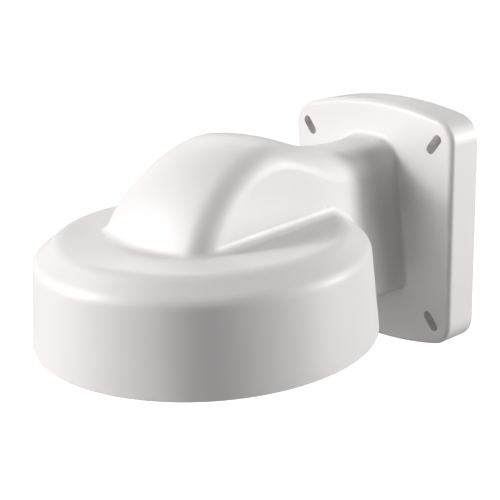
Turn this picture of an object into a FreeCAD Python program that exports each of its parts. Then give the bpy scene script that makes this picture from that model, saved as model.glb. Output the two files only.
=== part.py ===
import FreeCAD, Part
import Sketcher
import math
import os

# Wall bracket for a dome camera: a hollow casting in three blended forms (round cap, gooseneck arm, wall
# flange) and the pieces screwed, pressed or laid into it.
# Frame: X across, Y out of the wall (the wall is the plane Y = 0, the bracket hangs towards -Y), Z up.
# The origin is the middle of the flange's back face. Millimetres.

SIZES = {
    # round cap that the camera closes from below
    "cap_radius": 82.5,
    "cap_reach": 134.0,
    "rim_drop": 29.3,
    "cap_side_height": 41.0,
    "cap_shoulder_radius": 79.0,
    "cap_height": 49.6,
    "cap_crest_radius": 67.5,
    "cap_dish_height": 48.0,
    "shoulder_round": 7.0,
    "crest_round": 9.0,
    "wall": 3.6,
    "wall_half": 1.8,
    "crest_thickening": 1.0,
    "lip_width": 6.4,
    "lip_height": 6.0,
    # gooseneck arm
    "arm_blend": 4.0,
    "neck_blend": 2.5,
    "neck_drop": 4.1,
    "neck_floor": 4.0,
    # wall flange
    "flange_half_width": 55.7,
    "flange_corner_height": 57.4,
    "flange_crown": 192.0,
    "flange_corner_round": 13.0,
    "flange_depth": 20.0,
    "flange_edge_round": 3.0,
    "flange_wall": 7.0,
    # slots for the wall screws, set radially in the corners
    "slot_x": 44.2,
    "slot_z": 47.2,
    "slot_half_width": 2.5,
    "slot_half_travel": 3.3,
    "slot_angle": 52.0,
    "slot_boss_radius": 8.0,
    # perimeter gasket in the flange's back face
    "gasket_inset": 2.2,
    "gasket_width": 2.4,
    "gasket_depth": 2.0,
    "gasket_corner_round": 9.0,
    # seal in the rim's underside
    "seal_radius": 79.3,
    "seal_half_width": 1.3,
    "seal_depth": 1.6,
    "seal_proud": 0.6,
    # plate that carries the camera
    "plate_radius": 73.0,
    "plate_thickness": 2.0,
    "plate_recess": 9.0,
    "plate_screw_offset": 42.0,
    "plate_boss_radius": 5.0,
    "plate_window": 17.0,
    "camera_pitch_radius": 50.0,
    "press_nut_radius": 3.6,
    "press_nut_height": 3.0,
    "press_nut_shank": 2.9,
    # grommet in the plate's window
    "grommet_bore": 11.0,
    "grommet_flange": 21.0,
    "grommet_lip": 2.0,
    # M4 machine screws, spring washers and earth hardware
    "screw_radius": 2.0,
    "screw_length": 10.0,
    "pilot_radius": 2.05,
    "screw_head_radius": 3.9,
    "screw_head_height": 2.7,
    "screw_head_round": 1.2,
    "recess_half_width": 0.5,
    "recess_half_span": 2.1,
    "recess_depth": 1.6,
    "washer_inner": 2.15,
    "washer_outer": 3.8,
    "washer_thickness": 0.9,
    "earth_y": 55.0,
    "earth_boss_radius": 5.5,
    "earth_boss_height": 8.0,
    # hook plate for a safety cord
    "hook_x": 52.0,
    "hook_half_width": 6.0,
    "hook_leg": 7.0,
    "hook_thickness": 1.6,
    "hook_drop": 16.0,
    "hook_eye": 3.0,
    # blanking plug in the arm's underside
    "plug_y": 36.0,
    "plug_thread_radius": 8.0,
    "plug_thread_length": 7.0,
    "plug_head_radius": 11.0,
    "plug_head_height": 3.0,
    "plug_edge_round": 0.8,
    "plug_slot_width": 2.0,
    "plug_slot_half": 1.0,
    "plug_slot_depth": 1.5,
    "plug_seal_thickness": 1.5,
    "plug_seal_inset": 0.5,
}

doc = FreeCAD.newDocument("camera_wall_bracket")
sheet = doc.addObject("Spreadsheet::Sheet", "Sizes")
for row, (alias, amount) in enumerate(SIZES.items(), start=1):
    sheet.set("A%d" % row, alias)
    sheet.set("B%d" % row, str(amount))
    sheet.setAlias("B%d" % row, alias)
doc.recompute()

# ---------------------------------------------------------------------------------------------------------
# Sizes in use: every length below is a sum of named sizes, written as a tuple of aliases, where a leading
# minus sign takes the size away.


def number(terms):
    total = 0.0
    for term in terms:
        if term.startswith("-"):
            total -= sheet.get(term[1:])
        else:
            total += sheet.get(term)
    return total


def formula(terms):
    if not terms:
        return "0"
    text = "".join(" - Sizes." + term[1:] if term.startswith("-") else " + Sizes." + term for term in terms)
    return text.replace(" + ", "", 1) if text.startswith(" + ") else text.strip()


def bind(item, **lengths):
    for name, terms in lengths.items():
        item.setExpression(name, formula(terms))


def place(item, at, turn=None):
    """Bind the object's position; its rotation is fixed."""
    item.Placement = FreeCAD.Placement(FreeCAD.Vector(*map(number, at)), turn or FreeCAD.Rotation())
    for axis, terms in zip("xyz", at):
        item.setExpression("Placement.Base." + axis, formula(terms))
    return item


def cylinder(name, radius, height, at, turn=None):
    item = doc.addObject("Part::Cylinder", name)
    bind(item, Radius=radius, Height=height)
    return place(item, at, turn)


def box(name, length, width, height, at, turn=None):
    item = doc.addObject("Part::Box", name)
    bind(item, Length=length, Width=width, Height=height)
    return place(item, at, turn)


def fuse(name, items):
    item = doc.addObject("Part::MultiFuse", name)
    item.Shapes = items
    return item


def cut(name, base, tools):
    item = doc.addObject("Part::Cut", name)
    item.Base = base
    item.Tool = tools[0] if len(tools) == 1 else fuse(name + "_tools", tools)
    return item


def group(name, items):
    item = doc.addObject("Part::Compound", name)
    item.Links = items
    return item


def fillet(name, base, radius, chosen):
    """Round the edges of base for which chosen(edge) is true."""
    doc.recompute()
    size = sheet.get(radius)
    item = doc.addObject("Part::Fillet", name)
    item.Base = base
    item.Edges = [(i, size, size) for i, edge in enumerate(base.Shape.Edges, start=1) if chosen(edge)]
    return item


def body_fillet(body, name, base, radius, chosen):
    """The same inside a body, with the radius bound to its size."""
    doc.recompute()
    item = body.newObject("PartDesign::Fillet", name)
    item.Base = (base, ["Edge%d" % i for i, edge in enumerate(base.Shape.Edges, start=1) if chosen(edge)])
    item.Radius = sheet.get(radius)
    bind(item, Radius=(radius,))
    return item


def outline(body, name, role, corners):
    """A closed sketch on one of the body's own planes. Each corner is (x terms, y terms, radius terms): a
    radius makes the stretch to the next corner an arc that bulges outwards, None makes it straight."""
    sketch = body.newObject("Sketcher::SketchObject", name)
    plane = [feature for feature in body.Origin.OriginFeatures if feature.Role == role][0]
    sketch.AttachmentSupport = [(plane, "")]
    sketch.MapMode = "FlatFace"
    points = [FreeCAD.Vector(number(x), number(y), 0) for x, y, radius in corners]
    middle = sum(points, FreeCAD.Vector()) * (1.0 / len(points))
    for i, (x, y, radius) in enumerate(corners):
        start, end = points[i], points[(i + 1) % len(points)]
        if radius is None:
            sketch.addGeometry(Part.LineSegment(start, end), False)
            continue
        half_way = (start + end) * 0.5
        outwards = FreeCAD.Vector(end.y - start.y, start.x - end.x, 0).normalize()
        if outwards.dot(half_way - middle) < 0:
            outwards = outwards * -1
        bulge = number(radius) - math.sqrt(number(radius) ** 2 - start.distanceToPoint(end) ** 2 / 4)
        sketch.addGeometry(Part.Arc(start, half_way + outwards * bulge, end), False)
        size(sketch, Sketcher.Constraint("Radius", i, number(radius)), radius)
    for i, (x, y, radius) in enumerate(corners):
        before = (i - 1) % len(corners)
        here = end_at(sketch, i, points[i])
        sketch.addConstraint(Sketcher.Constraint("Coincident", before, end_at(sketch, before, points[i]), i, here))
        for kind, axis, terms in (("DistanceX", -2, x), ("DistanceY", -1, y)):
            if terms:
                size(sketch, Sketcher.Constraint(kind, -1, 1, i, here, number(terms)), terms)
            else:
                sketch.addConstraint(Sketcher.Constraint("PointOnObject", i, here, axis))
    return sketch


def size(sketch, constraint, terms):
    index = sketch.addConstraint(constraint)
    sketch.setExpression("Constraints[%d]" % index, formula(terms))


def end_at(sketch, stretch, point):
    """Which end of a stretch, 1 or 2, lies at the point."""
    return 1 if sketch.getPoint(stretch, 1).distanceToPoint(point) < 1e-6 else 2


ALONG_Y = FreeCAD.Rotation(FreeCAD.Vector(1, 0, 0), -90)
QUARTER_TURN = FreeCAD.Rotation(FreeCAD.Vector(0, 0, 1), 90)
CAP_AXIS = ("-cap_reach",)
RIM = ("-rim_drop",)
TOUCHING = 0.02


# ---------------------------------------------------------------------------------------------------------
# Outside of the casting


def cap_form():
    """Slightly conical wall, soft shoulder, crest ring and a shallow dish inside the crest. It is turned so
    that the seam of its round faces lies inside the arm, clear of the blend."""
    body = doc.addObject("PartDesign::Body", "cap_form")
    place(body, ((), CAP_AXIS, RIM), QUARTER_TURN)
    sketch = outline(body, "cap_profile", "XZ_Plane", [
        ((), (), None),
        (("cap_radius",), (), None),
        (("cap_shoulder_radius",), ("cap_side_height",), None),
        (("cap_crest_radius",), ("cap_height",), None),
        ((), ("cap_dish_height",), None),
    ])
    turned = body.newObject("PartDesign::Revolution", "cap_turned")
    turned.Profile = sketch
    turned.ReferenceAxis = (sketch, ["V_Axis"])
    turned.Angle = 360
    shoulder = body_fillet(body, "cap_shoulder", turned, "shoulder_round",
                           lambda edge: is_ring(edge, "cap_shoulder_radius", "cap_side_height"))
    body_fillet(body, "cap_crest", shoulder, "crest_round",
                lambda edge: is_ring(edge, "cap_crest_radius", "cap_height"))
    return body


def is_ring(edge, radius, height):
    """A circular edge of the named radius, at the named height in its own body."""
    curve = edge.Curve
    if not isinstance(curve, Part.Circle):
        return False
    return abs(curve.Radius - sheet.get(radius)) < 0.01 and abs(curve.Center.z - sheet.get(height)) < 0.01


def flange_outline(body, name, inset):
    """Rectangle with crowned top and bottom; inset is taken off every side."""
    wide = ("flange_half_width", *inset)
    tall = ("flange_corner_height", *inset)
    crown = ("flange_crown", *inset)
    left = tuple(negative(wide))
    low = tuple(negative(tall))
    return outline(body, name, "XZ_Plane",
                   [(left, low, crown), (wide, low, None), (wide, tall, crown), (left, tall, None)])


def negative(terms):
    return [term[1:] if term.startswith("-") else "-" + term for term in terms]


def flange_block(name, inset, depth, corner):
    """The flange outline padded out from the wall, with its corners rounded."""
    body = doc.addObject("PartDesign::Body", name)
    pad = body.newObject("PartDesign::Pad", name + "_pad")
    pad.Profile = flange_outline(body, name + "_outline", inset)
    bind(pad, Length=depth)
    return body, body_fillet(body, name + "_corners", pad, corner, runs_out)


def runs_out(edge):
    """A straight edge square to the wall."""
    first, last = edge.Vertexes[0].Point, edge.Vertexes[-1].Point
    return abs(first.x - last.x) < 0.01 and abs(first.z - last.z) < 0.01 and abs(first.y - last.y) > 0.01


def flange_form():
    body, corners = flange_block("flange_form", (), ("flange_depth",), "flange_corner_round")
    body_fillet(body, "flange_front_edge", corners, "flange_edge_round",
                lambda edge: all(abs(vertex.Y + sheet.get("flange_depth")) < 0.01 for vertex in edge.Vertexes))
    return body


# The arm is a loft through rounded sections. Each section stands on a line in the middle plane, from an
# inner point to an outer one, measured from the cap's axis (forwards negative) and from the rim plane. The
# first nine fan out about a pivot under the back of the cap, so they turn the arm from upright to level. The
# last four stand upright along the neck. Outer reach, outer height, half width outside, corner round outside.
FAN = [
    (-38.5, -6.6, 41.4, 14.0),
    (-38.6, 29.0, 40.8, 13.5),
    (-38.8, 49.6, 39.4, 12.5),
    (-30.6, 62.8, 37.2, 12.0),
    (-16.8, 76.2, 34.0, 12.0),
    (-1.0, 85.8, 31.4, 12.5),
    (18.0, 90.5, 29.6, 13.5),
    (39.7, 86.4, 28.2, 14.5),
    (61.9, 78.6, 25.6, 15.0),
]
NECK = [
    (78.4, 75.2, 22.4, 14.5),
    (95.0, 74.2, 20.0, 13.5),
    (113.8, 76.4, 18.6, 13.0),
    (119.6, 78.4, 18.4, 13.0),
]
PIVOT = (70.0, -6.6)
PIVOT_GAP = 2.5
PIVOT_HALF_WIDTH = 31.0
NECK_BOTTOM_HALF_WIDTH = 28.0
CROWN_RADIUS = 95.0
INNER_ROUND = 4.5


def arm_section(inner, outer, half_inner, half_outer, corner, inset):
    """One closed wire, inset on its two sides and its outside edge: flat inside edge, drafted sides, rounded
    corners and a crowned outside edge."""
    base = FreeCAD.Vector(0, inner[0], inner[1])
    along = FreeCAD.Vector(0, outer[0] - inner[0], outer[1] - inner[1])
    span = along.Length - inset
    along.normalize()
    low, high = half_inner - inset, half_outer - inset
    small, large = INNER_ROUND - min(inset, INNER_ROUND - 1.0), corner - inset
    side = FreeCAD.Vector(high - low, span, 0).normalize()
    inwards = FreeCAD.Vector(-side.y, side.x, 0)
    start = FreeCAD.Vector(low, 0, 0)
    foot = start + inwards * small + side * ((small - inwards.y * small) / side.y)
    crown = CROWN_RADIUS - inset
    middle = FreeCAD.Vector(0, span - crown, 0)
    offset = start + inwards * large - middle
    reach = offset.dot(side)
    shoulder = middle + offset + side * (math.sqrt(reach ** 2 - offset.dot(offset) + (crown - large) ** 2) - reach)
    top_right = shoulder + (shoulder - middle).normalize() * large
    right = [
        (foot.x, 0.0),
        (foot - (inwards + FreeCAD.Vector(0, 1, 0)).normalize() * small),
        (foot - inwards * small),
        (shoulder - inwards * large),
        (shoulder + ((top_right - shoulder).normalize() - inwards).normalize() * large),
        top_right,
    ]

    def at(point, mirror=1):
        x, height = point[0], point[1]
        return base + FreeCAD.Vector(x * mirror, 0, 0) + along * height

    bottom, bottom_mid, side_low, side_high, top_mid, top = right
    edges = [
        Part.LineSegment(at(bottom, -1), at(bottom)),
        Part.Arc(at(bottom), at(bottom_mid), at(side_low)),
        Part.LineSegment(at(side_low), at(side_high)),
        Part.Arc(at(side_high), at(top_mid), at(top)),
        Part.Arc(at(top), at((0.0, span)), at(top, -1)),
        Part.Arc(at(top, -1), at(top_mid, -1), at(side_high, -1)),
        Part.LineSegment(at(side_high, -1), at(side_low, -1)),
        Part.Arc(at(side_low, -1), at(bottom_mid, -1), at(bottom, -1)),
    ]
    return Part.Wire([edge.toShape() for edge in edges])


def arm_form(name, inset, floor):
    """The arm's outside when inset is nothing, and its hollow when inset is the wall: floor is the height of
    the neck's underside over the rim plane."""
    gap = number(inset)
    wires = []
    for reach, height, half_width, corner in FAN:
        ray = FreeCAD.Vector(reach - PIVOT[0], height - PIVOT[1], 0).normalize() * (PIVOT_GAP + gap)
        inner = (PIVOT[0] + ray.x, PIVOT[1] + ray.y)
        wires.append(arm_section(inner, (reach, height), PIVOT_HALF_WIDTH, half_width, corner, gap))
    for reach, height, half_width, corner in NECK:
        inner = (reach, number(floor))
        wires.append(arm_section(inner, (reach, height), NECK_BOTTOM_HALF_WIDTH, half_width, corner, gap))
    item = doc.addObject("Part::Feature", name)
    item.Shape = Part.makeLoft(wires, True, False)
    return place(item, ((), CAP_AXIS, RIM))


def casting_outside():
    """Cap, arm and flange in one, with a blend along each joint. The arm's foot is trimmed level with the rim
    afterwards, so its edge against the cap's underside stays sharp."""
    cap, flange, arm = cap_form(), flange_form(), arm_form("arm_form", (), ("-neck_drop",))
    hood = blended("hood", [cap, arm], (cap, arm), "arm_blend", (*RIM, "wall"))
    return blended("casting_outside", [hood, flange], (arm, flange), "neck_blend", ("-flange_corner_height",))


def blended(name, pieces, joint, radius, lowest):
    """Fuse the pieces, then round the edges above a height where the two forms of the joint meet."""
    fused = fuse(name + "_sharp", pieces)
    doc.recompute()

    def on_joint(edge):
        middle = edge.valueAt((edge.FirstParameter + edge.LastParameter) / 2)
        if middle.z < number(lowest):
            return False
        return all(Part.Vertex(middle).distToShape(form.Shape)[0] < TOUCHING for form in joint)

    return fillet(name, fused, radius, on_joint)


# ---------------------------------------------------------------------------------------------------------
# Hollows, bosses and holes of the casting


def cap_hollow():
    """Room for the camera's base: narrow at the lip, then up to the wall all round."""
    body = doc.addObject("PartDesign::Body", "cap_hollow")
    place(body, ((), CAP_AXIS, RIM))
    sketch = outline(body, "cap_hollow_profile", "XZ_Plane", [
        ((), ("-lip_height",), None),
        (("cap_radius", "-lip_width"), ("-lip_height",), None),
        (("cap_radius", "-lip_width"), ("lip_height",), None),
        (("cap_radius", "-wall"), ("lip_height", "wall"), None),
        (("cap_shoulder_radius", "-wall"), ("cap_side_height", "-wall"), None),
        (("cap_crest_radius", "-wall"), ("cap_height", "-wall", "-crest_thickening"), None),
        ((), ("cap_dish_height", "-wall"), None),
    ])
    turned = body.newObject("PartDesign::Revolution", "cap_hollow_turned")
    turned.Profile = sketch
    turned.ReferenceAxis = (sketch, ["V_Axis"])
    turned.Angle = 360
    return body


def below_rim():
    """Keeps the arm's underside clear of the camera below the cap."""
    return cylinder("below_rim", ("cap_radius",), ("cap_height",), ((), CAP_AXIS, ("-rim_drop", "-cap_height")))


def flange_hollow():
    return flange_block("flange_hollow", ("-flange_wall",), ("flange_depth", "-wall"), "flange_corner_round")[0]


def slot_tool(name, across, up):
    """A capsule through a corner of the flange, along the line from the flange's middle."""
    length = cylinder_pair(name, ("slot_half_width",), ("flange_depth", "flange_depth"))
    angle = sheet.get("slot_angle")
    turn = FreeCAD.Rotation(FreeCAD.Vector(0, 1, 0), -angle if across * up > 0 else angle)
    x = ("slot_x",) if across > 0 else ("-slot_x",)
    z = ("slot_z",) if up > 0 else ("-slot_z",)
    return place(length, (x, (), z), turn)


def cylinder_pair(name, radius, depth):
    ends = [cylinder("%s_end_%d" % (name, i), radius, depth, (x, ("-flange_depth",), ()), ALONG_Y)
            for i, x in enumerate((("slot_half_travel",), ("-slot_half_travel",)))]
    middle = box(name + "_middle", ("slot_half_travel", "slot_half_travel"), depth,
                 ("slot_half_width", "slot_half_width"), (("-slot_half_travel",), ("-flange_depth",),
                                                         ("-slot_half_width",)))
    return fuse(name, [*ends, middle])


CORNERS = [(1, 1), (-1, 1), (-1, -1), (1, -1)]


def signed(sign, alias):
    return alias if sign > 0 else "-" + alias


def slot_bosses():
    return [cylinder("slot_boss_%d" % i, ("slot_boss_radius",), ("flange_depth", "-wall"),
                     ((signed(a, "slot_x"),), ("-flange_depth", "wall"), (signed(b, "slot_z"),)), ALONG_Y)
            for i, (a, b) in enumerate(CORNERS)]


def cap_post(name, radius, x, y, foot, top):
    """An upright column or hole in the cap between two heights over the rim."""
    return cylinder(name, radius, (*top, *negative(foot)), (x, ("-cap_reach", *y), ("-rim_drop", *foot)))


CEILING = ("cap_dish_height", "-wall_half")
PLATE_TOP = ("plate_recess", "plate_thickness")
HARDWARE_FOOT = ("cap_dish_height", "-wall", "-earth_boss_height")


def plate_posts(name, radius, foot, top):
    return [cap_post("%s_%d" % (name, i), radius, (signed(a, "plate_screw_offset"),),
                     (signed(b, "plate_screw_offset"),), foot, top)
            for i, (a, b) in enumerate(CORNERS)]


def rim_lip():
    """Carries the rim's inner edge across the mouth of the arm."""
    outer = cylinder("rim_lip_outer", ("cap_radius", "-wall_half"), ("lip_height",), ((), CAP_AXIS, RIM))
    inner = cylinder("rim_lip_inner", ("cap_radius", "-lip_width"), ("lip_height",), ((), CAP_AXIS, RIM))
    return cut("rim_lip", outer, [inner])


def gasket_ring(name, outer_inset, inner_inset, depth):
    outer = flange_block(name + "_outer", outer_inset, depth, "gasket_corner_round")[0]
    inner = flange_block(name + "_inner", inner_inset, (*depth, *depth), "gasket_corner_round")[0]
    return cut(name, outer, [inner])


def rim_ring(name, foot, height):
    outer = cylinder(name + "_outer", ("seal_radius", "seal_half_width"), height, ((), CAP_AXIS, foot))
    inner = cylinder(name + "_inner", ("seal_radius", "-seal_half_width"), (*height, *height),
                     ((), CAP_AXIS, (*foot, "-seal_proud")))
    return cut(name, outer, [inner])


def bracket_housing():
    hollows = [cap_hollow(), arm_form("arm_hollow", ("wall",), ("neck_floor",)), flange_hollow(), below_rim()]
    shell = cut("shell", casting_outside(), hollows)
    bosses = slot_bosses() + plate_posts("plate_boss", ("plate_boss_radius",), PLATE_TOP, CEILING)
    bosses.append(cap_post("earth_boss", ("earth_boss_radius",), (), ("-earth_y",), HARDWARE_FOOT, CEILING))
    bosses.append(cap_post("hook_boss", ("earth_boss_radius",), ("-hook_x",), (), HARDWARE_FOOT, CEILING))
    bosses.append(rim_lip())
    solid = fuse("shell_with_bosses", [shell, *bosses])
    holes = [slot_tool("slot_%d" % i, a, b) for i, (a, b) in enumerate(CORNERS)]
    holes += plate_posts("plate_pilot", ("pilot_radius",), PLATE_TOP, (*PLATE_TOP, "screw_length"))
    holes.append(cap_post("earth_pilot", ("pilot_radius",), (), ("-earth_y",), HARDWARE_FOOT,
                          (*HARDWARE_FOOT, "earth_boss_height")))
    holes.append(cap_post("hook_pilot", ("pilot_radius",), ("-hook_x",), (), HARDWARE_FOOT,
                          (*HARDWARE_FOOT, "earth_boss_height")))
    holes.append(cylinder("plug_hole", ("plug_thread_radius",), ("plug_thread_length", "plug_thread_length"),
                          ((), ("-plug_y",), ("-rim_drop", "-neck_drop", "-wall"))))
    holes.append(gasket_ring("gasket_groove", ("-gasket_inset",), ("-gasket_inset", "-gasket_width"),
                             ("gasket_depth",)))
    holes.append(rim_ring("seal_groove", RIM, ("seal_depth",)))
    return cut("bracket_housing", solid, holes)


# ---------------------------------------------------------------------------------------------------------
# Pieces fitted to the casting


def wall_gasket():
    return gasket_ring("wall_gasket", ("-gasket_inset",), ("-gasket_inset", "-gasket_width"), ("gasket_depth",))


def rim_seal():
    return rim_ring("rim_seal", ("-rim_drop", "-seal_proud"), ("seal_depth", "seal_proud"))


def camera_plate():
    """Flat steel disc with a window for the cable, screw holes and three holes for press nuts."""
    disc = cap_post("plate_disc", ("plate_radius",), (), (), ("plate_recess",), PLATE_TOP)
    window = cap_post("plate_window_hole", ("plate_window",), (), (), (), ("cap_height",))
    screws = plate_posts("plate_hole", ("washer_inner",), (), ("cap_height",))
    nuts = [around("plate_nut_hole_%d" % i, ("press_nut_shank",), ((), ("cap_height",)), i) for i in range(3)]
    return cut("camera_plate", disc, [window, *screws, *nuts])


def around(name, radius, heights, index):
    """One of three upright cylinders on the camera's pitch circle, the first towards the front."""
    item = cylinder(name, radius, (*heights[1], *negative(heights[0])), ((), (), ()))
    turn = "(270 + 120 * %d)" % index
    item.setExpression("Placement.Base.x", "Sizes.camera_pitch_radius * cos(%s)" % turn)
    item.setExpression("Placement.Base.y", "Sizes.camera_pitch_radius * sin(%s) - Sizes.cap_reach" % turn)
    item.setExpression("Placement.Base.z", formula(("-rim_drop", *heights[0])))
    return item


def press_nuts():
    """Clinched in from above, their shanks flush with the plate's underside."""
    nuts = []
    for i in range(3):
        name = "press_nut_%d" % i
        shank = around(name + "_shank", ("press_nut_shank",), (("plate_recess",), PLATE_TOP), i)
        head = around(name + "_head", ("press_nut_radius",), (PLATE_TOP, (*PLATE_TOP, "press_nut_height")), i)
        bore = around(name + "_bore", ("pilot_radius",), ((), ("cap_height",)), i)
        nuts.append(cut(name, fuse(name + "_blank", [shank, head]), [bore]))
    return group("press_nuts", nuts)


def cable_grommet():
    seat = cap_post("grommet_seat", ("plate_window",), (), (), ("plate_recess",), PLATE_TOP)
    lower = cap_post("grommet_lower", ("grommet_flange",), (), (), ("plate_recess", "-grommet_lip"),
                     ("plate_recess",))
    upper = cap_post("grommet_upper", ("grommet_flange",), (), (), PLATE_TOP, (*PLATE_TOP, "grommet_lip"))
    bore = cap_post("grommet_hole", ("grommet_bore",), (), (), (), ("cap_height",))
    return cut("cable_grommet", fuse("grommet_blank", [seat, lower, upper]), [bore])


def washer(name, x, y, under):
    """Lies against the face at the height under, which it touches from below."""
    top = ("-rim_drop", *under)
    ring = cylinder(name + "_ring", ("washer_outer",), ("washer_thickness",),
                    (x, ("-cap_reach", *y), (*top, "-washer_thickness")))
    hole = cylinder(name + "_hole", ("washer_inner",), ("washer_thickness", "washer_thickness", "washer_thickness"),
                    (x, ("-cap_reach", *y), (*top, "-washer_thickness", "-washer_thickness")))
    return cut(name, ring, [hole])


def screw(name, x, y, under, length):
    """Pan-head screw driven upwards: under is the height that its head seats on."""
    y_here, seat = ("-cap_reach", *y), ("-rim_drop", *under)
    foot = (*seat, "-screw_head_height")
    shank = cylinder(name + "_shank", ("screw_radius",), length, (x, y_here, seat))
    head = cylinder(name + "_head", ("screw_head_radius",), ("screw_head_height",), (x, y_here, foot))
    low = number(foot)
    rounded = fillet(name + "_round", head, "screw_head_round",
                     lambda edge: all(abs(vertex.Z - low) < 0.01 for vertex in edge.Vertexes))
    arms = []
    for i, (long, wide) in enumerate((("recess_half_span", "recess_half_width"),
                                      ("recess_half_width", "recess_half_span"))):
        arms.append(box("%s_recess_%d" % (name, i), (long, long), (wide, wide), ("recess_depth",),
                        ((*x, "-" + long), (*y_here, "-" + wide), foot)))
    return cut(name, fuse(name + "_blank", [rounded, shank]), arms)


def plate_hardware():
    screws, washers = [], []
    for i, (a, b) in enumerate(CORNERS):
        x, y = (signed(a, "plate_screw_offset"),), (signed(b, "plate_screw_offset"),)
        washers.append(washer("plate_washer_%d" % i, x, y, ("plate_recess",)))
        screws.append(screw("plate_screw_%d" % i, x, y, ("plate_recess", "-washer_thickness"), ("screw_length",)))
    return [group("plate_screws", screws), group("plate_washers", washers)]


def earth_point():
    ring = washer("earth_washer", (), ("-earth_y",), HARDWARE_FOOT)
    return [ring, screw("earth_screw", (), ("-earth_y",), (*HARDWARE_FOOT, "-washer_thickness"),
                        ("earth_boss_height",))]


def safety_hook():
    """Angle strip under its own boss, with an eye for the camera's safety cord."""
    x, y = ("-hook_x",), ("-hook_half_width",)
    foot = ("-rim_drop", *HARDWARE_FOOT, "-hook_thickness")
    flat = box("hook_flat", ("hook_leg", "hook_leg"), ("hook_half_width", "hook_half_width"),
               ("hook_thickness",), ((*x, "-hook_leg"), ("-cap_reach", *y), foot))
    drop = box("hook_leg_down", ("hook_thickness",), ("hook_half_width", "hook_half_width"), ("hook_drop",),
               ((*x, "hook_leg", "-hook_thickness"), ("-cap_reach", *y), (*foot, "hook_thickness", "-hook_drop")))
    hole = cap_post("hook_screw_hole", ("washer_inner",), x, (), (), ("cap_height",))
    eye = cylinder("hook_eye_hole", ("hook_eye",), ("hook_leg", "hook_leg"),
                   ((*x,), CAP_AXIS, (*foot, "-hook_drop", "hook_thickness", "hook_half_width")),
                   FreeCAD.Rotation(FreeCAD.Vector(0, 1, 0), 90))
    hook = cut("safety_hook", fuse("hook_blank", [flat, drop]), [hole, eye])
    return [hook, screw("hook_screw", x, (), (*HARDWARE_FOOT, "-hook_thickness"), ("earth_boss_height",))]


def conduit_plug():
    """Threaded plug with a coin slot, its flat sealing ring against the arm's underside."""
    under = ("-rim_drop", "-neck_drop")
    y = ("-plug_y",)
    ring = cut("plug_seal",
               cylinder("plug_seal_ring", ("plug_head_radius", "-plug_seal_inset"), ("plug_seal_thickness",),
                        ((), y, (*under, "-plug_seal_thickness"))),
               [cylinder("plug_seal_hole", ("plug_thread_radius",), ("plug_thread_length",),
                         ((), y, (*under, "-plug_seal_thickness", "-plug_seal_thickness")))])
    seat = (*under, "-plug_seal_thickness")
    thread = cylinder("plug_thread", ("plug_thread_radius",), ("plug_seal_thickness", "plug_thread_length"),
                      ((), y, seat))
    head = cylinder("plug_head", ("plug_head_radius",), ("plug_head_height",), ((), y, (*seat, "-plug_head_height")))
    low = number((*seat, "-plug_head_height"))
    rounded = fillet("plug_head_round", head, "plug_edge_round",
                     lambda edge: all(abs(vertex.Z - low) < 0.01 for vertex in edge.Vertexes))
    slot = box("plug_coin_slot", ("plug_head_radius", "plug_head_radius"), ("plug_slot_width",),
               ("plug_slot_depth",), (("-plug_head_radius",), (*y, "-plug_slot_half"), (*seat, "-plug_head_height")))
    return [cut("conduit_plug", fuse("plug_blank", [rounded, thread]), [slot]), ring]


NODES = [
    bracket_housing(),
    wall_gasket(),
    rim_seal(),
    camera_plate(),
    press_nuts(),
    cable_grommet(),
    *plate_hardware(),
    *earth_point(),
    *safety_hook(),
    *conduit_plug(),
]

doc.recompute()
for item in doc.Objects:
    if "Invalid" in item.State or "Error" in item.State:
        raise RuntimeError("%s did not build: %s" % (item.Label, item.State))
for node in NODES:
    if node.Shape.isNull() or not node.Shape.isValid():
        raise RuntimeError("%s has no valid shape" % node.Label)

os.makedirs("parts", exist_ok=True)
for node in NODES:
    node.Shape.exportStep("parts/%s.step" % node.Label)
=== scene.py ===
import math

import bmesh
import bpy
from mathutils import Matrix, Vector


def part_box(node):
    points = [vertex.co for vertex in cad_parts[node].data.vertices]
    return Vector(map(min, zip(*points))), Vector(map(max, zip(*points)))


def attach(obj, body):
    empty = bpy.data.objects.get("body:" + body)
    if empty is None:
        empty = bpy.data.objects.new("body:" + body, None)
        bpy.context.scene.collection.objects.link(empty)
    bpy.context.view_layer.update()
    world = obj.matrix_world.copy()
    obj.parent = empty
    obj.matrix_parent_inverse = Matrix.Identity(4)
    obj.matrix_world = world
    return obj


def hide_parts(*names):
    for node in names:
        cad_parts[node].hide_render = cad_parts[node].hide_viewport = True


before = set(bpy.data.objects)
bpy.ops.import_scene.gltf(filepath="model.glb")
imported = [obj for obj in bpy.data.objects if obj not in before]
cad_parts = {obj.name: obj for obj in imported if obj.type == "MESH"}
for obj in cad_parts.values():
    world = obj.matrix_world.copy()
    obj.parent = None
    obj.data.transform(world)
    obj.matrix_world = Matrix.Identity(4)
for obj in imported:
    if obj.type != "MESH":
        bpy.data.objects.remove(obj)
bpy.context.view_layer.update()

# The casting: aluminium poured hollow in one piece, cap, arm and wall flange together, then blasted and
# powder coated inside and out in satin white. The coat leaves a very fine orange peel.


def finish(name, colour, roughness, metallic=0.0):
    """A new material and its shader, with what is the same all over set on the shader itself."""
    coat = bpy.data.materials.new(name)
    coat.use_nodes = True
    shader = coat.node_tree.nodes["Principled BSDF"]
    shader.inputs["Base Color"].default_value = (*colour, 1.0)
    shader.inputs["Roughness"].default_value = roughness
    shader.inputs["Metallic"].default_value = metallic
    return coat, shader


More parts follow.
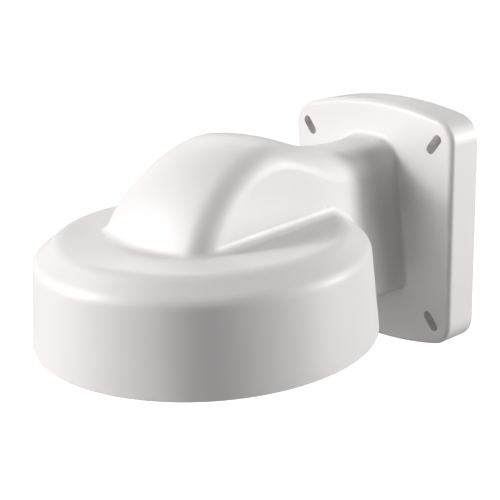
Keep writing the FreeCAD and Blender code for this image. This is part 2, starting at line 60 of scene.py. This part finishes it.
def mottle(coat, scale, detail=2.0, stretch=(1.0, 1.0, 1.0)):
    """Noise fixed to the piece, with its features stretched along an axis where the scale there is small."""
    nodes, links = coat.node_tree.nodes, coat.node_tree.links
    where = nodes.new("ShaderNodeTexCoord")
    fit = nodes.new("ShaderNodeMapping")
    fit.inputs["Scale"].default_value = stretch
    noise = nodes.new("ShaderNodeTexNoise")
    noise.inputs["Scale"].default_value = scale
    noise.inputs["Detail"].default_value = detail
    links.new(where.outputs["Object"], fit.inputs["Vector"])
    links.new(fit.outputs["Vector"], noise.inputs["Vector"])
    return noise.outputs[0]


def between(coat, source, low, high):
    """The noise's middle range spread from low to high."""
    spread = coat.node_tree.nodes.new("ShaderNodeMapRange")
    spread.inputs["From Min"].default_value = 0.3
    spread.inputs["From Max"].default_value = 0.7
    spread.inputs["To Min"].default_value = low
    spread.inputs["To Max"].default_value = high
    coat.node_tree.links.new(source, spread.inputs["Value"])
    return spread.outputs[0]


def tint(coat, shader, source, first, second):
    """Colour that wanders between two shades."""
    mix = coat.node_tree.nodes.new("ShaderNodeMix")
    mix.data_type = "RGBA"
    mix.inputs["A"].default_value = (*first, 1.0)
    mix.inputs["B"].default_value = (*second, 1.0)
    coat.node_tree.links.new(source, mix.inputs["Factor"])
    coat.node_tree.links.new(mix.outputs["Result"], shader.inputs["Base Color"])


def relief(coat, shader, source, depth, strength=1.0):
    """Small ups and downs of the surface, added over those that it already has."""
    bump = coat.node_tree.nodes.new("ShaderNodeBump")
    bump.inputs["Strength"].default_value = strength
    bump.inputs["Distance"].default_value = depth
    if shader.inputs["Normal"].is_linked:
        coat.node_tree.links.new(shader.inputs["Normal"].links[0].from_socket, bump.inputs["Normal"])
    coat.node_tree.links.new(source, bump.inputs["Height"])
    coat.node_tree.links.new(bump.outputs["Normal"], shader.inputs["Normal"])


def dress(node_name, coat):
    """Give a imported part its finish."""
    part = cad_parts[node_name]
    part.data.materials.clear()
    part.data.materials.append(coat)


powder_coat, shader = finish("white_powder_coat", (0.808, 0.779, 0.777), 0.42)
tint(powder_coat, shader, between(powder_coat, mottle(powder_coat, 14.0), 0.0, 1.0),
     (0.814, 0.785, 0.783), (0.801, 0.773, 0.771))
powder_coat.node_tree.links.new(between(powder_coat, mottle(powder_coat, 60.0, 4.0), 0.38, 0.47),
                                shader.inputs["Roughness"])
relief(powder_coat, shader, mottle(powder_coat, 420.0, 1.0), 0.00006, 0.5)
relief(powder_coat, shader, mottle(powder_coat, 1700.0, 1.0), 0.00002, 0.5)
dress("bracket_housing", powder_coat)

# The wall gasket: a ring of black EPDM rubber, moulded to the flange's outline and pressed into the groove in
# its back. A shallow groove along its middle leaves two lips that seal against the wall.


def rubber(name, colour, roughness):
    """Black moulded rubber with a faint grey bloom and a fine matte grain."""
    coat, shader = finish(name, colour, roughness)
    bloom = tuple(channel * 1.7 for channel in colour)
    tint(coat, shader, between(coat, mottle(coat, 90.0, 4.0), 0.0, 1.0), colour, bloom)
    relief(coat, shader, mottle(coat, 2600.0, 2.0), 0.00005, 0.6)
    return coat


def push_out(work, extruded, step):
    """Move the new end of an extrusion away from the old one."""
    end = [item for item in extruded["geom"] if isinstance(item, bmesh.types.BMVert)]
    bmesh.ops.translate(work, verts=end, vec=step)


def fit_piece(name, work, coat, smooth_below=35.0):
    """Close and clean a worked mesh, give it its finish, and let it stand for the part of the same name."""
    bmesh.ops.remove_doubles(work, verts=work.verts, dist=1e-6)
    bmesh.ops.recalc_face_normals(work, faces=work.faces)
    mesh = bpy.data.meshes.new(name + "_fitted")
    work.to_mesh(mesh)
    work.free()
    mesh.materials.append(coat)
    mesh.shade_smooth()
    mesh.set_sharp_from_angle(angle=math.radians(smooth_below))
    piece = bpy.data.objects.new(name + "_fitted", mesh)
    bpy.context.scene.collection.objects.link(piece)
    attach(piece, "root")
    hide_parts(name)


GASKET_WIDTH = 0.0024
GASKET_CORNER = 0.009
GASKET_CROWN = 0.1898
GASKET_LIP = 0.0008
GASKET_GROOVE_DEPTH = 0.0004
GASKET_GROOVE_SLOPE = 0.0002
low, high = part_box("wall_gasket")
corner_rise = math.sqrt(GASKET_CROWN ** 2 - high.x ** 2)
corner_z = high.z - GASKET_CROWN + corner_rise
work = bmesh.new()
work.faces.new([work.verts.new((x * high.x, high.y, z * corner_z))
                for x, z in ((-1, -1), (-1, 1), (1, 1), (1, -1))])
bmesh.ops.bevel(work, geom=work.verts[:], offset=GASKET_CORNER, segments=8, profile=0.5, affect="VERTICES",
                material=-1)
long_edges = [edge for edge in work.edges if abs(edge.verts[0].co.x - edge.verts[1].co.x) > high.x]
bmesh.ops.subdivide_edges(work, edges=long_edges, cuts=30)
for vert in work.verts:
    crown = math.sqrt(GASKET_CROWN ** 2 - vert.co.x ** 2) - corner_rise
    vert.co.z += math.copysign(crown, vert.co.z)
ring = bmesh.ops.inset_region(work, faces=work.faces[:], thickness=GASKET_WIDTH, use_boundary=True,
                              use_even_offset=True)["faces"]
bmesh.ops.delete(work, geom=list(set(work.faces) - set(ring)), context="FACES")
push_out(work, bmesh.ops.extrude_face_region(work, geom=ring, use_keep_orig=True),
         (0.0, low.y - high.y, 0.0))
bmesh.ops.recalc_face_normals(work, faces=work.faces)
bmesh.ops.inset_region(work, faces=ring, thickness=GASKET_LIP, use_even_offset=True)
bmesh.ops.inset_region(work, faces=ring, thickness=GASKET_GROOVE_SLOPE, depth=-GASKET_GROOVE_DEPTH,
                       use_even_offset=True)
fit_piece("wall_gasket", work, rubber("gasket_rubber", (0.030, 0.030, 0.032), 0.62))

# The rim seal: a closed-cell sponge cord pushed into the groove under the cap's rim. It stands a little
# proud, so that the camera flattens it, and its cut ends meet at the back.
CAP_AXIS = Vector((0.0, -0.134, 0.0))
UP = (0.0, 0.0, 1.0)
CORD_SWEEP = 359.7
low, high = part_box("rim_seal")
cord_radius = (high.z - low.z) / 2
cord_middle = high.x - cord_radius
work = bmesh.new()
bmesh.ops.create_circle(work, segments=18, radius=cord_radius,
                        matrix=Matrix.Translation((0.0, CAP_AXIS.y + cord_middle, low.z + cord_radius))
                        @ Matrix.Rotation(math.radians(90.0), 4, "Y"))
bmesh.ops.spin(work, geom=work.edges[:], cent=CAP_AXIS, axis=UP, angle=math.radians(CORD_SWEEP), steps=220,
               use_merge=False)
bmesh.ops.holes_fill(work, edges=[edge for edge in work.edges if edge.is_boundary])
sponge = rubber("sponge_cord", (0.036, 0.036, 0.038), 0.88)
relief(sponge, sponge.node_tree.nodes["Principled BSDF"], mottle(sponge, 900.0, 3.0), 0.00015, 0.8)
fit_piece("rim_seal", work, sponge)

# The camera plate: 2 mm sheet steel, laser cut to a disc with a cable window, then zinc plated. The rolled
# grain shows faintly through the plating and catches the light in one direction.


def zinc(name, colour, roughness, grain=(1.0, 1.0, 1.0)):
    """Bright plating or bare bright steel: cloudy, with fine lines along the grain."""
    coat, shader = finish(name, colour, roughness, metallic=1.0)
    cloudy = tuple(channel * 0.84 for channel in colour)
    tint(coat, shader, between(coat, mottle(coat, 70.0, 5.0), 0.0, 1.0), colour, cloudy)
    streaks = mottle(coat, 160.0, 4.0, grain)
    coat.node_tree.links.new(between(coat, streaks, roughness - 0.08, roughness + 0.10),
                             shader.inputs["Roughness"])
    relief(coat, shader, mottle(coat, 1500.0, 3.0, grain), 0.00003, 0.35)
    return coat


dress("camera_plate", zinc("zinc_plate", (0.56, 0.57, 0.585), 0.42, grain=(0.05, 1.0, 1.0)))

# The press nuts: three round clinch nuts of turned and plated steel, pressed into the plate from above. A
# knurled collar keeps them from turning, and the camera's screws go up into their M4 threads.


def turned(work, profile, centre, steps):
    """Turn a closed outline of (radius, height) points once round an upright axis, which it may touch."""
    points = [work.verts.new((centre.x + radius, centre.y, height)) for radius, height in profile]
    outline = [work.edges.new((points[i - 1], points[i])) for i in range(len(points))
               if profile[i - 1][0] > 0.0 or profile[i][0] > 0.0]
    bmesh.ops.spin(work, geom=points + outline, cent=centre, axis=UP, angle=math.tau, steps=steps,
                   use_merge=True)
    bmesh.ops.remove_doubles(work, verts=work.verts, dist=1e-6)


def threaded(crest, root, bottom, top, pitch):
    """Crests and roots of a screw thread from the bottom to the top, one pair for each turn."""
    line = []
    for turn in range(int((top - bottom) / pitch)):
        line.append((crest, bottom + turn * pitch))
        line.append((root, bottom + (turn + 0.5) * pitch))
    return line


M4_PITCH = 0.0007
NUT_CIRCLE = 0.050
NUT_BORE = 0.00205
NUT_THREAD_ROOT = 0.00227
NUT_LEAD_IN = 0.0004
NUT_RADIUS = 0.0036
NUT_CHAMFER = 0.0005
NUT_FOOT = 0.0029
NUT_KNURL_POINTS = 48
KNURL_SHARE = 0.05
plate_low, plate_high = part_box("camera_plate")
low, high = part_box("press_nuts")
nut_outline = [
    (NUT_BORE + NUT_LEAD_IN, low.z),
    *threaded(NUT_BORE, NUT_THREAD_ROOT, low.z + NUT_LEAD_IN, high.z - 0.0003, M4_PITCH),
    (NUT_BORE + NUT_LEAD_IN, high.z),
    (NUT_RADIUS - NUT_CHAMFER, high.z),
    (NUT_RADIUS, high.z - NUT_CHAMFER),
    (NUT_RADIUS, plate_high.z + 0.0004),
    (NUT_RADIUS - 0.0003, plate_high.z),
    (NUT_FOOT, plate_high.z),
    (NUT_FOOT, low.z),
]
work = bmesh.new()
for bearing in (270.0, 390.0, 510.0):
    toward = Vector((math.cos(math.radians(bearing)), math.sin(math.radians(bearing)), 0.0))
    centre = CAP_AXIS + NUT_CIRCLE * toward
    turned(work, nut_outline, centre, NUT_KNURL_POINTS)
    for vert in work.verts:
        out = vert.co - centre
        out.z = 0.0
        point = round(math.atan2(out.y, out.x) / math.tau * NUT_KNURL_POINTS)
        if abs(out.length - NUT_RADIUS) < 1e-5 and point % 2:
            vert.co -= out * KNURL_SHARE
fit_piece("press_nuts", work, zinc("zinc_nuts", (0.58, 0.59, 0.60), 0.30, grain=(1.0, 1.0, 0.1)))

# The cable grommet: moulded black rubber, folded through the plate's window. Its thin inner lip and three low
# ribs grip the cable and keep dust out of the cap.
GROMMET_BORE = 0.011
GROMMET_WINDOW = 0.017
GROMMET_RIB = 0.0003
low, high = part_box("cable_grommet")
reach, waist = high.x, (low.z + high.z) / 2
work = bmesh.new()
turned(work, [
    (GROMMET_BORE, low.z + 0.0006),
    (GROMMET_BORE + 0.0006, low.z),
    (GROMMET_BORE + 0.0022, low.z),
    (GROMMET_BORE + 0.0027, low.z + 0.0005),
    (GROMMET_BORE + 0.0034, low.z + 0.0005),
    (GROMMET_BORE + 0.0039, low.z),
    (reach - 0.0032, low.z),
    (reach - 0.0008, low.z + 0.0004),
    (reach, low.z + 0.0012),
    (reach - 0.0001, plate_low.z),
    (GROMMET_WINDOW, plate_low.z),
    (GROMMET_WINDOW, plate_high.z),
    (reach - 0.0001, plate_high.z),
    (reach, high.z - 0.0012),
    (reach - 0.0008, high.z - 0.0004),
    (reach - 0.0032, high.z),
    (GROMMET_BORE + 0.0006, high.z),
    (GROMMET_BORE, high.z - 0.0006),
    (GROMMET_BORE + GROMMET_RIB, high.z - 0.0014),
    (GROMMET_BORE, high.z - 0.0022),
    (GROMMET_BORE + GROMMET_RIB, waist),
    (GROMMET_BORE, low.z + 0.0022),
    (GROMMET_BORE + GROMMET_RIB, low.z + 0.0014),
], CAP_AXIS, 128)
fit_piece("cable_grommet", work, rubber("grommet_moulding", (0.033, 0.033, 0.035), 0.55),
          smooth_below=25.0)

# The plate's spring washers: square steel wire coiled once, cut through and set, so that the two ends spring
# apart a little. One lies under each of the four plate screws.


def soften(work, width, steps, sharper_than):
    """Round every edge that turns by more than an angle in degrees."""
    sharp = [edge for edge in work.edges if edge.is_manifold
             and edge.calc_face_angle() > math.radians(sharper_than)]
    bmesh.ops.bevel(work, geom=sharp, offset=width, segments=steps, profile=0.5, affect="EDGES",
                    material=-1, clamp_overlap=True)


def spring_washer(work, centre, bottom, thickness, gap_bearing):
    """One coil of square wire with a narrow slanting gap."""
    wire = thickness * (1.0 - WASHER_SPRING)
    section = [work.verts.new((centre.x + radius, centre.y, height)) for radius, height in (
        (WASHER_INNER, bottom), (WASHER_OUTER, bottom), (WASHER_OUTER, bottom + wire),
        (WASHER_INNER, bottom + wire))]
    outline = [work.edges.new((section[i - 1], section[i])) for i in range(4)]
    bmesh.ops.rotate(work, verts=section, cent=centre,
                     matrix=Matrix.Rotation(math.radians(gap_bearing), 3, "Z"))
    bmesh.ops.spin(work, geom=section + outline, cent=centre, axis=UP, angle=math.radians(WASHER_SWEEP),
                   steps=WASHER_STEPS, dvec=(0.0, 0.0, (thickness - wire) / WASHER_STEPS), use_merge=False)


WASHER_OUTER = 0.0038
WASHER_INNER = 0.00215
WASHER_SPRING = 0.06
WASHER_SWEEP = 346.0
WASHER_STEPS = 60
low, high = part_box("plate_washers")
reach = high.x - WASHER_OUTER
screw_places = [CAP_AXIS + Vector((x * reach, y * reach, 0.0))
                for x, y in ((1, 1), (-1, 1), (-1, -1), (1, -1))]
work = bmesh.new()
for place, gap_bearing in zip(screw_places, (20.0, 155.0, 250.0, 310.0)):
    spring_washer(work, place, low.z, high.z - low.z, gap_bearing)
bmesh.ops.holes_fill(work, edges=[edge for edge in work.edges if edge.is_boundary])
soften(work, 0.0001, 1, 60.0)
fit_piece("plate_washers", work, zinc("zinc_spring", (0.60, 0.60, 0.61), 0.32))

# The plate screws: four M4 pan-head machine screws of stainless steel, driven upwards into the casting's
# posts. Each head is cold formed, with a tapered cross recess struck into it.


def stand_in(shape):
    """An object for a worked mesh, for as long as a cut takes."""
    bmesh.ops.recalc_face_normals(shape, faces=shape.faces)
    mesh = bpy.data.meshes.new("blank")
    shape.to_mesh(mesh)
    shape.free()
    made = bpy.data.objects.new("blank", mesh)
    bpy.context.scene.collection.objects.link(made)
    return made


def carved(work, cutters):
    """Cut shapes out of a worked mesh, and return what is left."""
    blank = stand_in(work)
    tools = [stand_in(cutter) for cutter in cutters]
    for tool in tools:
        cut = blank.modifiers.new("cut", "BOOLEAN")
        cut.operation = "DIFFERENCE"
        cut.solver = "EXACT"
        cut.object = tool
    left = bmesh.new()
    left.from_object(blank, bpy.context.evaluated_depsgraph_get())
    for made in (blank, *tools):
        mesh = made.data
        bpy.data.objects.remove(made)
        bpy.data.meshes.remove(mesh)
    return left


def cross_recess(centre, face_z):
    """Two crossed wedges that taper up inside a head from its face."""
    blades = []
    for turn in (12.0, 102.0):
        blade = bmesh.new()
        bmesh.ops.create_cube(blade, size=2.0)
        bmesh.ops.scale(blade, verts=blade.verts, vec=(CROSS_REACH, CROSS_HALF_WIDTH, CROSS_DEPTH))
        for vert in blade.verts:
            if vert.co.z > 0.0:
                vert.co.x *= 0.45
                vert.co.y *= 0.6
        bmesh.ops.rotate(blade, verts=blade.verts, matrix=Matrix.Rotation(math.radians(turn), 3, "Z"))
        bmesh.ops.translate(blade, verts=blade.verts, vec=(centre.x, centre.y, face_z))
        blades.append(blade)
    return blades


def pan_head_screw(centre, face_z, tip_z):
    """An M4 screw that points up: domed head below its seat, threaded shank above it, cross recess."""
    seat_z = face_z + HEAD_HEIGHT
    screw = bmesh.new()
    turned(screw, [
        (0.0, face_z),
        (HEAD_RADIUS * 0.45, face_z + 0.00006),
        (HEAD_RADIUS * 0.70, face_z + 0.0003),
        (HEAD_RADIUS * 0.88, face_z + 0.0008),
        (HEAD_RADIUS * 0.97, face_z + 0.0014),
        (HEAD_RADIUS, face_z + 0.0021),
        (HEAD_RADIUS, seat_z - 0.0002),
        (HEAD_RADIUS - 0.0002, seat_z),
        (M4_CREST + 0.0001, seat_z),
        *threaded(M4_CREST, M4_ROOT, seat_z + 0.0005, tip_z - 0.0004, M4_PITCH),
        (M4_ROOT - 0.0002, tip_z),
        (0.0, tip_z),
    ], centre, 40)
    return carved(screw, cross_recess(centre, face_z))


HEAD_RADIUS = 0.0039
HEAD_HEIGHT = 0.0027
M4_CREST = 0.0020
M4_ROOT = 0.0017
CROSS_REACH = 0.0021
CROSS_HALF_WIDTH = 0.0005
CROSS_DEPTH = 0.0016
low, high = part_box("plate_screws")
work = bmesh.new()
for place in screw_places:
    screw = pan_head_screw(place, low.z, high.z)
    struck = bpy.data.meshes.new("struck")
    screw.to_mesh(struck)
    screw.free()
    work.from_mesh(struck)
    bpy.data.meshes.remove(struck)
stainless = zinc("stainless_screws", (0.66, 0.655, 0.64), 0.26)
fit_piece("plate_screws", work, stainless)

# The earth point: a brass pan-head screw over a toothed washer, whose points bite through the coat into the
# bare metal of the casting. The brass has dulled a little since it was made.
EARTH_RIM = 0.0030
TOOTH_COUNT = 12
TOOTH_TWIST = 24.0
TOOTH_SIZE = (0.0011, 0.0007, 0.00045)
low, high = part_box("earth_washer")
earth_place = (low + high) / 2
work = bmesh.new()
turned(work, [
    (WASHER_INNER, low.z + 0.0003),
    (EARTH_RIM, low.z + 0.0003),
    (EARTH_RIM, low.z + 0.0008),
    (WASHER_INNER, low.z + 0.0008),
], earth_place, 48)
for tooth in range(TOOTH_COUNT):
    tip = bmesh.ops.create_cube(work, size=1.0)["verts"]
    bmesh.ops.scale(work, verts=tip, vec=TOOTH_SIZE)
    bmesh.ops.rotate(work, verts=tip, matrix=Matrix.Rotation(math.radians(TOOTH_TWIST), 3, "X"))
    bmesh.ops.translate(work, verts=tip, vec=(EARTH_RIM + 0.0003, 0.0, 0.0))
    bmesh.ops.rotate(work, verts=tip, matrix=Matrix.Rotation(math.tau / TOOTH_COUNT * tooth, 3, "Z"))
    bmesh.ops.translate(work, verts=tip, vec=(earth_place.x, earth_place.y, low.z + 0.00055))
soften(work, 0.00006, 1, 60.0)
fit_piece("earth_washer", work, zinc("zinc_toothed", (0.62, 0.62, 0.63), 0.30))

brass, shader = finish("tarnished_brass", (0.72, 0.53, 0.25), 0.30, metallic=1.0)
tint(brass, shader, between(brass, mottle(brass, 500.0, 4.0), 0.0, 1.0),
     (0.76, 0.57, 0.28), (0.50, 0.36, 0.17))
brass.node_tree.links.new(between(brass, mottle(brass, 900.0, 3.0), 0.24, 0.42), shader.inputs["Roughness"])
relief(brass, shader, mottle(brass, 4000.0, 2.0), 0.00002, 0.4)
low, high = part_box("earth_screw")
fit_piece("earth_screw", pan_head_screw(earth_place, low.z, high.z), brass)

# The safety hook: a strip of 1.6 mm zinc-plated steel bent to a right angle, with rounded corners and an eye
# for the camera's safety cord. One screw holds it up against its own boss in the cap.


def rod(radius, length, centre, turn=0.0):
    """A round cutter through a point, upright or turned about y by an angle in degrees."""
    cutter = bmesh.new()
    bmesh.ops.create_cone(cutter, cap_ends=True, segments=48, radius1=radius, radius2=radius, depth=length)
    bmesh.ops.rotate(cutter, verts=cutter.verts, matrix=Matrix.Rotation(math.radians(turn), 3, "Y"))
    bmesh.ops.translate(cutter, verts=cutter.verts, vec=centre)
    return cutter


def round_off(work, width, steps, chosen):
    """Round the edges whose two ends both lie where they are wanted."""
    edges = [edge for edge in work.edges if all(chosen(vert.co) for vert in edge.verts)]
    bmesh.ops.bevel(work, geom=edges, offset=width, segments=steps, profile=0.5, affect="EDGES", material=-1)


STRIP = 0.0016
HOOK_EYE = 0.003
EYE_RISE = 0.006
HOOK_CORNER = 0.0025
OUTER_BEND = 0.0022
INNER_BEND = 0.0007
CUTTER_LENGTH = 0.01
NEAR = 1e-5
low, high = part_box("safety_hook")
inside = high - Vector((STRIP, 0.0, STRIP))
work = bmesh.new()
side = work.faces.new([work.verts.new((x, low.y, z)) for x, z in (
    (low.x, high.z), (low.x, inside.z), (inside.x, inside.z), (inside.x, low.z), (high.x, low.z),
    (high.x, high.z))])
push_out(work, bmesh.ops.extrude_face_region(work, geom=[side]), (0.0, high.y - low.y, 0.0))
free_corners = [edge for edge in work.edges
                if abs(edge.verts[0].co.y - edge.verts[1].co.y) < NEAR
                and all(vert.co.x < low.x + NEAR or vert.co.z < low.z + NEAR for vert in edge.verts)]
bmesh.ops.bevel(work, geom=free_corners, offset=HOOK_CORNER, segments=6, profile=0.5, affect="EDGES",
                material=-1)
round_off(work, OUTER_BEND, 8, lambda co: co.x > high.x - NEAR and co.z > high.z - NEAR)
round_off(work, INNER_BEND, 4, lambda co: abs(co.x - inside.x) < NEAR and abs(co.z - inside.z) < NEAR)
screw_low, screw_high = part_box("hook_screw")
hook_place = (screw_low + screw_high) / 2
work = carved(work, [
    rod(WASHER_INNER, CUTTER_LENGTH, (hook_place.x, hook_place.y, high.z)),
    rod(HOOK_EYE, CUTTER_LENGTH, (high.x, (low.y + high.y) / 2, low.z + EYE_RISE), turn=90.0),
])
soften(work, 0.00015, 2, 50.0)
fit_piece("safety_hook", work, zinc("zinc_strip", (0.60, 0.61, 0.62), 0.33, grain=(1.0, 1.0, 0.06)))
fit_piece("hook_screw", pan_head_screw(hook_place, screw_low.z, screw_high.z), stainless)

# The conduit plug: off-white moulded nylon, screwed into the arm's underside where a conduit could enter. It
# has finger flutes round its head and a coin slot across it, and it squeezes a flat rubber ring.
PLUG_FLUTES = 24
STEPS_PER_FLUTE = 8
FLUTE_DEPTH = 0.0009
PLUG_THREAD = 0.008
PLUG_THREAD_CREST = 0.0079
PLUG_THREAD_ROOT = 0.0071
PLUG_PITCH = 0.0015
PLUG_HEAD_HEIGHT = 0.003
COIN_RADIUS = 0.0125
COIN_SLOT_WIDTH = 0.0026
COIN_SLOT_DEPTH = 0.0021
low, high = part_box("conduit_plug")
plug_place = (low + high) / 2
head = high.x
seat = low.z + PLUG_HEAD_HEIGHT
work = bmesh.new()
turned(work, [
    (0.0, low.z + 0.0004),
    (head * 0.6, low.z + 0.0003),
    (head - 0.0022, low.z),
    (head - 0.0009, low.z + 0.0002),
    (head - 0.0003, low.z + 0.0006),
    (head, low.z + 0.0011),
    (head, seat - 0.0004),
    (head - 0.0004, seat),
    (PLUG_THREAD_ROOT, seat),
    *threaded(PLUG_THREAD_CREST, PLUG_THREAD_ROOT, seat + 0.0008, high.z - 0.0008, PLUG_PITCH),
    (PLUG_THREAD - 0.0012, high.z),
    (0.0, high.z),
], plug_place, PLUG_FLUTES * STEPS_PER_FLUTE)
for vert in work.verts:
    out = vert.co - plug_place
    out.z = 0.0
    if out.length > head - 0.0010:
        wave = math.cos(math.atan2(out.y, out.x) * PLUG_FLUTES)
        vert.co -= out.normalized() * max(0.0, wave) * FLUTE_DEPTH
coin = bmesh.new()
bmesh.ops.create_cone(coin, cap_ends=True, segments=96, radius1=COIN_RADIUS, radius2=COIN_RADIUS,
                      depth=COIN_SLOT_WIDTH)
bmesh.ops.rotate(coin, verts=coin.verts, matrix=Matrix.Rotation(math.radians(90.0), 3, "X"))
bmesh.ops.translate(coin, verts=coin.verts,
                    vec=(plug_place.x, plug_place.y, low.z + COIN_SLOT_DEPTH - COIN_RADIUS))
work = carved(work, [coin])
soften(work, 0.00012, 1, 55.0)
nylon, shader = finish("off_white_nylon", (0.76, 0.755, 0.74), 0.52)
shader.inputs["Subsurface Weight"].default_value = 0.06
shader.inputs["Subsurface Radius"].default_value = (0.002, 0.0016, 0.0012)
tint(nylon, shader, between(nylon, mottle(nylon, 120.0, 3.0), 0.0, 1.0),
     (0.765, 0.76, 0.745), (0.745, 0.735, 0.715))
relief(nylon, shader, mottle(nylon, 1800.0, 3.0), 0.00004, 0.6)
fit_piece("conduit_plug", work, nylon)

low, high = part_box("plug_seal")
work = bmesh.new()
turned(work, [
    (PLUG_THREAD, low.z),
    (high.x - 0.0003, low.z),
    (high.x + 0.0001, (low.z + high.z) / 2),
    (high.x - 0.0003, high.z),
    (PLUG_THREAD, high.z),
], plug_place, 96)
fit_piece("plug_seal", work, rubber("ring_rubber", (0.030, 0.030, 0.032), 0.60),
          smooth_below=60.0)

# The studio: a plain pale room whose floor lies well below the bracket, since it hangs on a wall. The camera
# alone sees it, so it doesn't flatten the shading, and soft boxes in front and behind do the lighting.


def bearing_to(azimuth, elevation):
    """Direction from the bracket: azimuth from the front towards +X, both in degrees."""
    turn, rise = math.radians(azimuth), math.radians(elevation)
    return Vector((math.sin(turn) * math.cos(rise), -math.cos(turn) * math.cos(rise), math.sin(rise)))


def soft_box(name, azimuth, elevation, watts, size):
    """A square light that faces the bracket."""
    lamp = bpy.data.lights.new(name, "AREA")
    lamp.size = size
    lamp.energy = watts
    away = bearing_to(azimuth, elevation)
    stand = bpy.data.objects.new(name, lamp)
    stand.location = BRACKET_MIDDLE + away * LAMP_DISTANCE
    stand.rotation_euler = (-away).to_track_quat("-Z", "Y").to_euler()
    bpy.context.scene.collection.objects.link(stand)


FLOOR = -0.75
ROOM_RADIUS = 9.0
BRACKET_MIDDLE = Vector((0.0, -0.11, 0.005))
LAMP_DISTANCE = 1.4
room = bmesh.new()
bmesh.ops.create_uvsphere(room, u_segments=64, v_segments=32, radius=ROOM_RADIUS)
for vert in room.verts:
    vert.co.z = max(vert.co.z, FLOOR)
bmesh.ops.reverse_faces(room, faces=room.faces)
room_mesh = bpy.data.meshes.new("pale_room")
room.to_mesh(room_mesh)
room.free()
pale, shader = finish("pale_room", (0.90, 0.90, 0.90), 0.9)
shader.inputs["Emission Color"].default_value = (1.0, 1.0, 1.0, 1.0)
shader.inputs["Emission Strength"].default_value = 0.97
room_mesh.materials.append(pale)
room_mesh.shade_smooth()
pale_room = bpy.data.objects.new("pale_room", room_mesh)
bpy.context.scene.collection.objects.link(pale_room)
pale_room.visible_diffuse = False
pale_room.visible_glossy = False
pale_room.visible_transmission = False
pale_room.visible_shadow = False

world = bpy.data.worlds.new("studio_air")
bpy.context.scene.world = world
world.use_nodes = True
world.node_tree.nodes["Background"].inputs["Color"].default_value = (1.0, 1.0, 1.0, 1.0)
world.node_tree.nodes["Background"].inputs["Strength"].default_value = 0.14
bpy.context.scene.view_settings.view_transform = "Standard"

soft_box("key", -35.0, 25.0, 8.2, 0.25)
soft_box("key_low", -35.0, 10.0, 7.2, 0.45)
soft_box("key_high", -45.0, 40.0, 5.1, 0.5)
soft_box("front", -15.0, 25.0, 1.3, 0.5)
soft_box("front_low", 20.0, -8.0, 2.8, 0.5)
soft_box("left_side", -110.0, 20.0, 1.3, 0.7)
soft_box("left_back", -130.0, 35.0, 3.1, 0.7)
soft_box("right_back", 140.0, 10.0, 9.9, 0.25)
soft_box("right_back_high", 140.0, 30.0, 5.7, 0.5)
soft_box("right_back_low", 130.0, -8.0, 3.3, 0.5)
soft_box("below", -30.0, -55.0, 1.2, 1.6)

# The camera: a short telephoto view from the right of the front and a little above, held with a slight roll.
# It stands about half a metre away, so the near side of the cap looks a little larger.
AZIMUTH, ELEVATION, ROLL = 49.9, 17.5, -2.23
STANDPOINT = (0.3586, -0.4070, 0.1504)
back = bearing_to(AZIMUTH, ELEVATION)
level = Vector((math.cos(math.radians(AZIMUTH)), math.sin(math.radians(AZIMUTH)), 0.0))
tilt = Matrix.Rotation(math.radians(ROLL), 3, "Z")
stance = Matrix((level, back.cross(level), back)).transposed() @ tilt
lens = bpy.data.cameras.new("camera")
lens.lens = 72.0
lens.sensor_width = 36.0
lens.clip_start = 0.01
camera = bpy.data.objects.new("camera", lens)
camera.matrix_world = Matrix.Translation(STANDPOINT) @ stance.to_4x4()
bpy.context.scene.collection.objects.link(camera)
bpy.context.scene.camera = camera
